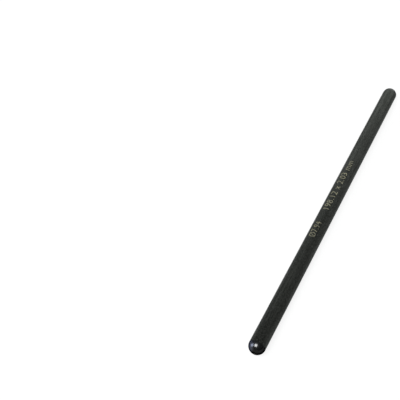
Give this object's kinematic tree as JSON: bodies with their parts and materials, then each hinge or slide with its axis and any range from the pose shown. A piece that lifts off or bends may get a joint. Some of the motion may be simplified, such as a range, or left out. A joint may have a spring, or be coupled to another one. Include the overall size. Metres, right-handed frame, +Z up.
{
  "type": "engine pushrod",
  "caption": "Straight hollow steel engine pushrod in black oxide, closed in at each end to a full-radius ball with an oil hole through its pole.",
  "frame": {"origin": "centre of the lifter-end ball, on the rod's own axis", "axes": "+X along the rod from the lifter end to the rocker end, +Z up with the rod lying flat, as in the picture"},
  "size_m": [0.1979, 0.008, 0.008],
  "materials": {
    "oxide_steel": "satin",
    "etched_figures": "matte"
  },
  "bodies": {
    "root": {"pushrod": "oxide_steel"}
  },
  "joints": []
}
